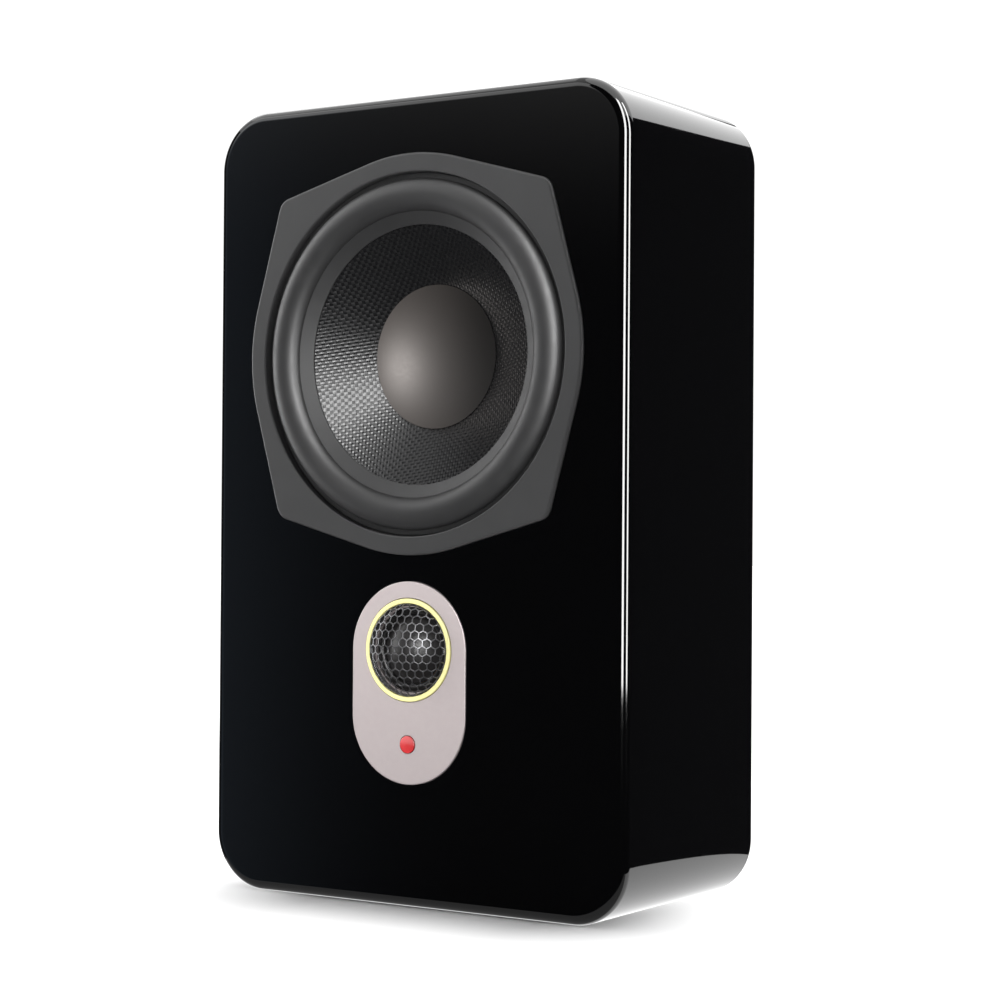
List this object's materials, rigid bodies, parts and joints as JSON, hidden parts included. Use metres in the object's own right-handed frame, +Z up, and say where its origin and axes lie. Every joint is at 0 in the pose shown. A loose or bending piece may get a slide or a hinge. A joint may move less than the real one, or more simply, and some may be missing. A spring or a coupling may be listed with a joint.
{
  "type": "bookshelf speaker",
  "caption": "Two-way bookshelf speaker: gloss black rounded cabinet, woven-cone woofer over a mesh-covered dome tweeter, recessed binding posts behind.",
  "frame": {"origin": "centre of the cabinet's flat base, which rests on the shelf", "axes": "+Z up, drivers face -Y, +X to the right of a person looking at the front"},
  "size_m": [0.184, 0.1044, 0.3],
  "materials": {
    "lacquer": "deep gloss black lacquer over MDF",
    "raw_board": "raw MDF",
    "wadding": "soft matte polyester wadding",
    "satin_trim": "satin dark grey",
    "cast_frame": "matte black powder coat",
    "foam": "matte closed-cell foam",
    "screw_steel": "black zinc",
    "butyl_rubber": "satin dark grey",
    "woven_fibre": "glossy woven fibre, dark and light yarns",
    "cap_plastic": "satin dark grey",
    "spider_cloth": "resin-treated cloth",
    "former_foil": "plain foil",
    "copper_wire": "enamelled copper wire",
    "plated_steel": "zinc plated",
    "ferrite": "matte ceramic ferrite",
    "neodymium": "nickel plated",
    "phenolic": "phenolic board",
    "silver_plate": "satin warm silver",
    "gold_ring": "satin gold",
    "grille_steel": "gunmetal black",
    "silk": "coated silk",
    "moulded_black": "moulded black, fine texture",
    "enamel_red": "gloss red enamel",
    "post_metal": "gold plated",
    "knob_red": "gloss red",
    "knob_black": "gloss black",
    "board_green": "solder mask",
    "film_yellow": "taped film",
    "cement": "matte cement",
    "cable_jacket": "satin black"
  },
  "bodies": {
    "cabinet": {"front_baffle": "lacquer", "cabinet_shell": "lacquer", "rear_panel": "lacquer", "shelf_brace": "raw_board", "damping_blanket": "wadding", "woofer_trim_ring": "satin_trim", "woofer_basket": "cast_frame", "woofer_gasket": "foam", "woofer_screw_1": "screw_steel", "woofer_screw_2": "screw_steel", "woofer_screw_3": "screw_steel", "woofer_screw_4": "screw_steel", "woofer_surround": "butyl_rubber", "woofer_spider": "spider_cloth", "woofer_top_plate": "plated_steel", "woofer_magnet": "ferrite", "woofer_yoke": "plated_steel", "woofer_terminal_strip": "phenolic", "tweeter_faceplate": "silver_plate", "tweeter_trim_ring": "gold_ring", "tweeter_mesh_grille": "grille_steel", "tweeter_surround": "silk", "tweeter_pole_disc": "plated_steel", "tweeter_magnet": "neodymium", "tweeter_yoke_cup": "plated_steel", "tweeter_housing": "moulded_black", "tweeter_screw_left": "screw_steel", "tweeter_screw_right": "screw_steel", "faceplate_badge_dot": "enamel_red", "terminal_cup": "moulded_black", "terminal_cup_gasket": "foam", "terminal_cup_screw_1": "screw_steel", "terminal_cup_screw_2": "screw_steel", "terminal_cup_screw_3": "screw_steel", "terminal_cup_screw_4": "screw_steel", "post_stud_red": "post_metal", "post_nut_red": "post_metal", "post_stud_black": "post_metal", "post_nut_black": "post_metal", "crossover_board": "board_green", "inductor_woofer": "copper_wire", "inductor_tweeter": "copper_wire", "capacitor_woofer": "film_yellow", "capacitor_tweeter": "film_yellow", "resistor": "cement", "woofer_lead": "cable_jacket", "tweeter_lead": "cable_jacket", "input_lead": "cable_jacket"},
    "woofer_diaphragm": {"woofer_cone": "woven_fibre", "woofer_dust_cap": "cap_plastic", "woofer_coil_former": "former_foil", "woofer_coil_winding": "copper_wire"},
    "tweeter_diaphragm": {"tweeter_dome": "silk", "tweeter_voice_coil": "copper_wire"},
    "red_washer": {"post_washer_red": "post_metal"},
    "red_knob": {"post_knob_red": "knob_red"},
    "black_washer": {"post_washer_black": "post_metal"},
    "black_knob": {"post_knob_black": "knob_black"}
  },
  "joints": [
    {"name": "woofer_excursion", "type": "slide", "parent": "cabinet", "child": "woofer_diaphragm", "axis": [0, -1, 0], "range_m": [-0.005, 0.005], "stiffness_N_per_m": 1000, "deforming": ["woofer_surround", "woofer_spider"]},
    {"name": "tweeter_excursion", "type": "slide", "parent": "cabinet", "child": "tweeter_diaphragm", "axis": [0, -1, 0], "range_m": [-0.0003, 0.0003], "stiffness_N_per_m": 60, "deforming": ["tweeter_surround"]},
    {"name": "red_washer_travel", "type": "slide", "parent": "cabinet", "child": "red_washer", "axis": [0, 1, 0], "range_m": [0, 0.004]},
    {"name": "red_knob_turn", "type": "hinge", "parent": "red_washer", "child": "red_knob", "pos_m": [0.011, 0.04, 0.07], "axis": [0, 1, 0], "range_deg": [0, 1440]},
    {"name": "black_washer_travel", "type": "slide", "parent": "cabinet", "child": "black_washer", "axis": [0, 1, 0], "range_m": [0, 0.004]},
    {"name": "black_knob_turn", "type": "hinge", "parent": "black_washer", "child": "black_knob", "pos_m": [-0.011, 0.04, 0.07], "axis": [0, 1, 0], "range_deg": [0, 1440]}
  ],
  "couplings": [
    {"joint": "red_knob_turn", "follows": "red_washer_travel", "rad_per_m": 6283.2},
    {"joint": "black_knob_turn", "follows": "black_washer_travel", "rad_per_m": 6283.2}
  ]
}
